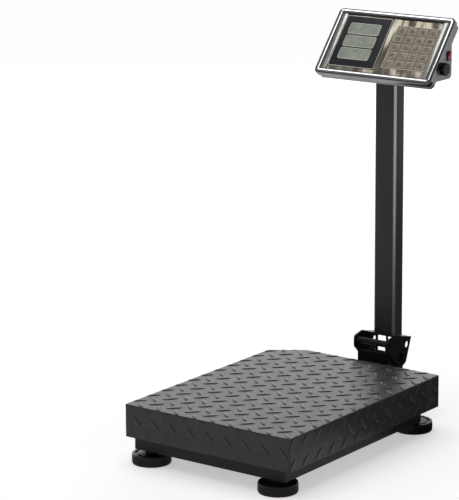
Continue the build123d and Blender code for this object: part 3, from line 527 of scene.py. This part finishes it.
def bezelRings():
    w, l = bezel["size"]
    sink = bezel["sink"]
    # the edge and groove rings are painted dark reflections in black gloss; the bright ring is a painted
    # highlight in brighter chrome over the bezel's shaded chrome
    coats = {"edge": darkReflectionGloss, "bright": chromeAndHighlight, "groove": darkReflectionGloss}
    for name, inset, band, height in bezel["rings"]:
        ring = roundedRing("bezel" + name.title(), (w - 2 * inset) * mm, (l - 2 * inset) * mm,
                           (height + sink) * mm, (bezel["round"] - inset * bezel["tighten"]) * mm,
                           band * mm, (0, 0, -sink * mm), edge=bezel["edge"] * mm)
        smooth(putOnFace(ring))
        ring.data.materials.append(coats[name])
        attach(ring, "head")


def sills():
    # pale glossy bars between the bezel and the tinted steel, left and right
    out = bezel["size"][0] / 2 - sill["inset"] - sill["width"] / 2
    bars = [roundedPlate("sill", sill["width"] * mm, sill["long"] * mm, sill["height"] * mm,
                         sill["corner"] * mm, sill["edge"] * mm,
                         (side * out * mm, 0, sill["below"] * mm), 3) for side in (-1, 1)]
    bar = smooth(putOnFace(joined(bars, "bezelSills")))
    bar.data.materials.append(pearlGloss)
    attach(bar, "head")


legends = {"rows": ("789C", "456M", "123T", "0.+Z", "-=/x"), "size": 7.29, "thick": 0.05, "swell": 0.12}


def keyLegends():
    # plain digits and signs, one mesh for each key
    for row, col, _, where in keys():
        spot = keySpot(row, col) + ((keyCap["top"] - keyCap["outline"]["sink"]) * mm,)
        mark = putOnFace(printed("keyMark" + where, legends["rows"][row][col], legends["size"] * mm,
                                 spot, legends["thick"] * mm, legends["swell"] * mm))
        mark.data.materials.append(darkInk)
        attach(mark, "key_row%d_col%d" % (row + 1, col + 1))


# the rear of the head, seen from behind: x to the right, y up, z out of it
# each screen: middle, width and reading; the label and trims: place and size
rear = {"at": (0, 0.2419, 0.56375), "plate": {"size": (196, 43.5), "rim": 2, "thick": 0.5, "edge": 0.15},
        "window": {"size": (150.5, 34.5), "low": -2.75, "depth": -0.45},
        "screens": ((-43.5, 44, "000"), (33.0, 62, "0000")), "tall": 22, "thick": 0.25, "corner": 0.8,
        "border": {"band": 1.4, "grow": 2, "height": 0.4, "corner": 1.6},
        "digit": {"size": 17, "depth": -0.2, "thick": 0.06},
        "label": {"at": -10.0, "size": (15, 18), "thick": 0.3},
        "trim": {"at": 101.6, "width": 4.6, "tall": 44.0, "thick": 1.3, "each": 0.42, "apart": 0.27,
                 "round": 0.5, "sink": -0.1}}
onRear = Matrix(((-1, 0, 0, rear["at"][0]),
                 (0, 0, 1, rear["at"][1]),
                 (0, 1, 0, rear["at"][2]),
                 (0, 0, 0, 1)))


def rearPiece(obj, material):
    obj.matrix_world = onRear @ obj.matrix_world
    smooth(settle(obj))
    obj.data.materials.append(material)
    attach(obj, "head")
    return obj


def rearPlate():
    # one sheet with the window's opening drawn out of its middle
    sheet, window = rear["plate"], rear["window"]
    w, l = sheet["size"]
    bpy.ops.mesh.primitive_plane_add(size=1)
    plate = named("rearPlate")
    plate.scale = (w * mm, l * mm, 1)
    settle(plate)
    edit(plate, "FACE", lambda c, n: True)
    bpy.ops.mesh.inset(thickness=sheet["rim"] * mm, depth=0)
    bpy.ops.transform.resize(value=(window["size"][0] / (w - 2 * sheet["rim"]),
                                    window["size"][1] / (l - 2 * sheet["rim"]), 1))
    bpy.ops.transform.translate(value=(0, window["low"] * mm, 0))
    bpy.ops.mesh.delete(type="FACE")
    done(plate)
    finishWith(plate, "SOLIDIFY", thickness=sheet["thick"] * mm, offset=1)
    outward(plate)
    finishWith(plate, "BEVEL", width=sheet["edge"] * mm, segments=2, limit_method="ANGLE",
               angle_limit=radians(crease))
    rearPiece(plate, greyPaint)


def rearReadings():
    # two lit readings with pale borders and a blank label, laid on the window's face
    low, deep = rear["window"]["low"] * mm, rear["window"]["depth"] * mm
    corner = rear["corner"] * mm
    border, digit, label = rear["border"], rear["digit"], rear["label"]
    glow, borders, digits = [], [], []
    for x, wide, reading in rear["screens"]:
        spot = (x * mm, low, deep)
        glow.append(roundedPlate("screen", wide * mm, rear["tall"] * mm, rear["thick"] * mm, corner, 0,
                                 spot, 3))
        borders.append(roundedRing("border", (wide + border["grow"]) * mm,
                                   (rear["tall"] + border["grow"]) * mm, border["height"] * mm,
                                   border["corner"] * mm, border["band"] * mm, spot, segments=3))
        digits.append(printed("digits", reading, digit["size"] * mm,
                              (x * mm, low, digit["depth"] * mm), digit["thick"] * mm))
    wide, tall = label["size"]
    borders.append(roundedPlate("label", wide * mm, tall * mm, label["thick"] * mm, corner, 0,
                                (label["at"] * mm, low, deep), 3))
    rearPiece(joined(glow, "rearScreens"), greenCrystal)
    rearPiece(joined(borders, "rearBorders"), whiteInk)
    rearPiece(joined(digits, "rearDigits"), darkInk)


def rearTrims():
    # a pair of bright ribs down each rear corner
    trim = rear["trim"]
    wide, gap, soft = trim["width"] * trim["each"], trim["width"] * trim["apart"], trim["round"] * mm
    ribs = [roundedPlate("rib", wide * mm, trim["tall"] * mm, trim["thick"] * mm, soft, soft,
                         ((side * trim["at"] + step * gap) * mm, 0, trim["sink"] * mm), 3)
            for side in (-1, 1) for step in (-1, 1)]
    rearPiece(joined(ribs, "rearTrims"), chromeAndHighlight)


footRibs = {"count": 90, "radius": 29.25, "rise": 0.45, "low": 2.6, "high": 12.4, "taper": 0.15}


def ribFeet():
    # the gripping ribs round each foot: every other face of a many-sided band, raised
    step = pi / footRibs["count"]
    tall = (footRibs["high"] - footRibs["low"]) * mm
    for name in feet:
        low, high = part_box(name)
        x, y = (low[0] + high[0]) / 2, (low[1] + high[1]) / 2
        middle = (x, y, low[2] + footRibs["low"] * mm + tall / 2)
        bpy.ops.mesh.primitive_cylinder_add(vertices=footRibs["count"] * 2,
                                            radius=footRibs["radius"] * mm, depth=tall, location=middle)
        band = settle(named(name.replace("foot", "ribs")))

        def everyOther(centre, normal):
            turn = round(atan2(centre.y - y, centre.x - x) / step - 0.5)
            return abs(normal.z) < 0.5 and turn % 2 == 0

        edit(band, "FACE", everyOther)
        bpy.ops.mesh.inset(thickness=footRibs["taper"] * mm, depth=footRibs["rise"] * mm,
                           use_individual=True)
        done(band)
        band.data.materials.append(blackAbs)
        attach(band, name)


outlines()
rearPlate()
rearReadings()
rearTrims()
print("head's outlines and rear done")
ribFeet()
print("feet ribbed")
keyCaps()
keyLegends()
print("keys capped and marked:", keypad["rows"] * keypad["columns"])
bezelRings()
sills()
print("bezel banded")


# the studio

studio = {"floor": 60, "paper": ("#dcdcdc", "#e2e2e2"), "grain": 3.0, "glow": 0.46,
          "sky": ((0.0, 0.95), (0.2, 0.9), (0.38, 0.6), (0.6, 0.14), (1.0, 0.16)),
          "key": {"from": (-0.22, 0.08, 0.972), "spread": 60, "strength": 1.35},
          "back": {"size": (2.6, 1.3), "power": 19, "at": (-1.95, 2.75, 0.95),
                   "towards": (0, 0, 0.1)},
          "strip": {"size": (1.3, 0.95), "power": 66, "at": (0.66, -0.22, 0.56),
                    "towards": (0.0, 0.24, 0.56)},
          "card": {"size": (1.5, 2.5), "at": (1.0, 1.0), "turn": -36.9, "shade": (0.016, 0.02),
                   "grain": 400.0, "lift": 0.002}}


def layFloor():
    # matt paper roll; its own faint light keeps the far part as pale as the near
    bpy.ops.mesh.primitive_plane_add(size=studio["floor"], location=(0, 0, 0))
    floor = named("studioFloor")
    material, tree, shader, place = startMaterial("studioPaper", Roughness=0.9)
    paper = add(tree, "TexNoise", {"Scale": studio["grain"], "Detail": 2}, {"Vector": place})
    ramp = add(tree, "ValToRGB", links={"Fac": paper.outputs["Fac"]})
    ramp.color_ramp.elements[0].color = colour(studio["paper"][0])
    ramp.color_ramp.elements[1].color = colour(studio["paper"][1])
    tree.links.new(ramp.outputs[0], shader.inputs["Base Color"])
    shader.inputs["Emission Color"].default_value = (1, 1, 1, 1)
    shader.inputs["Emission Strength"].default_value = studio["glow"]
    floor.data.materials.append(material)


def layCard():
    # a dark card to the right that only reflections see: it keeps the right-hand faces deep
    card = studio["card"]
    bpy.ops.mesh.primitive_plane_add(size=1, location=card["at"] + (card["lift"],),
                                     rotation=(0, 0, radians(card["turn"])))
    board = named("studioCard")
    board.scale = card["size"] + (1,)
    settle(board)
    material, tree, shader, place = startMaterial("studioBlackCard", Roughness=0.95)
    felt = add(tree, "TexNoise", {"Scale": card["grain"]}, {"Vector": place})
    shade = add(tree, "MapRange", {"To Min": card["shade"][0], "To Max": card["shade"][1]},
                {"Value": felt.outputs["Fac"]})
    tree.links.new(shade.outputs[0], shader.inputs["Base Color"])
    board.data.materials.append(material)
    board.visible_camera = False
    board.visible_diffuse = False
    board.visible_shadow = False
    board.visible_transmission = False


def lightUp():
    # bright low down and dim higher up, so that metal has something dark to mirror
    world = bpy.data.worlds.new("studioSky")
    world.use_nodes = True
    bpy.context.scene.world = world
    tree = world.node_tree
    sight = add(tree, "TexCoord").outputs["Generated"]
    height = add(tree, "SeparateXYZ", links={"Vector": sight})
    ramp = add(tree, "ValToRGB", links={"Fac": height.outputs["Z"]})
    stops = ramp.color_ramp.elements
    stops[0].position, stops[1].position = studio["sky"][0][0], studio["sky"][-1][0]
    for place, _ in studio["sky"][1:-1]:
        stops.new(place)
    for stop, (_, shade) in zip(stops, studio["sky"]):
        stop.color = (shade, shade, shade, 1)
    tree.links.new(ramp.outputs[0], tree.nodes["Background"].inputs["Color"])
    # a very large overhead softbox a long way off, so the floor is lit evenly
    key = studio["key"]
    bpy.ops.object.light_add(type="SUN", location=key["from"])
    lamp = bpy.context.object
    lamp.name = "keyLight"
    lamp.data.energy = key["strength"]
    lamp.data.angle = radians(key["spread"])
    lamp.rotation_euler = Vector(key["from"]).to_track_quat("Z", "Y").to_euler()
    # a low softbox behind skims the deck; a tall one at the right draws the line down the column's corner
    for name in ("back", "strip"):
        box = studio[name]
        bpy.ops.object.light_add(type="AREA", location=box["at"])
        lamp = bpy.context.object
        lamp.name = name + "Light"
        lamp.data.shape = "RECTANGLE"
        lamp.data.size, lamp.data.size_y = box["size"]
        lamp.data.energy = box["power"]
        lamp.rotation_euler = (Vector(box["at"]) - Vector(box["towards"])).to_track_quat("Z", "Y").to_euler()
    lit = bpy.data.collections.new("stripLit")
    lit.objects.link(nodes["column_tube"])
    lamp.light_linking.receiver_collection = lit


camera = {"azimuth": 36.641, "elevation": 13.459, "roll": -0.382, "distance": 3.81214,
          "aim": (-0.082469, 0.211181), "deck": (0, -0.0541, 0.089),
          "focal": 2519.577, "frame": 500, "sensor": 24, "clip": 200}


def setCamera():
    a, e, r = (radians(camera[k]) for k in ("azimuth", "elevation", "roll"))
    back = Vector((sin(a) * cos(e), -cos(a) * cos(e), sin(e)))
    right = Vector((cos(a), sin(a), 0))
    up = back.cross(right)
    place = (Vector(camera["deck"]) + right * camera["aim"][0] + up * camera["aim"][1]
             + back * camera["distance"])
    x, y = right * cos(r) + up * sin(r), up * cos(r) - right * sin(r)
    bpy.ops.object.camera_add()
    eye = bpy.context.object
    eye.matrix_world = Matrix(((x.x, y.x, back.x, place.x), (x.y, y.y, back.y, place.y),
                               (x.z, y.z, back.z, place.z), (0, 0, 0, 1)))
    eye.data.sensor_fit = "VERTICAL"
    eye.data.sensor_height = camera["sensor"]
    eye.data.lens = camera["focal"] * camera["sensor"] / camera["frame"]
    eye.data.clip_end = camera["clip"]
    bpy.context.scene.camera = eye


layFloor()
layCard()
lightUp()
setCamera()
bpy.context.scene.view_settings.view_transform = "Standard"
print("stage, light and camera set")
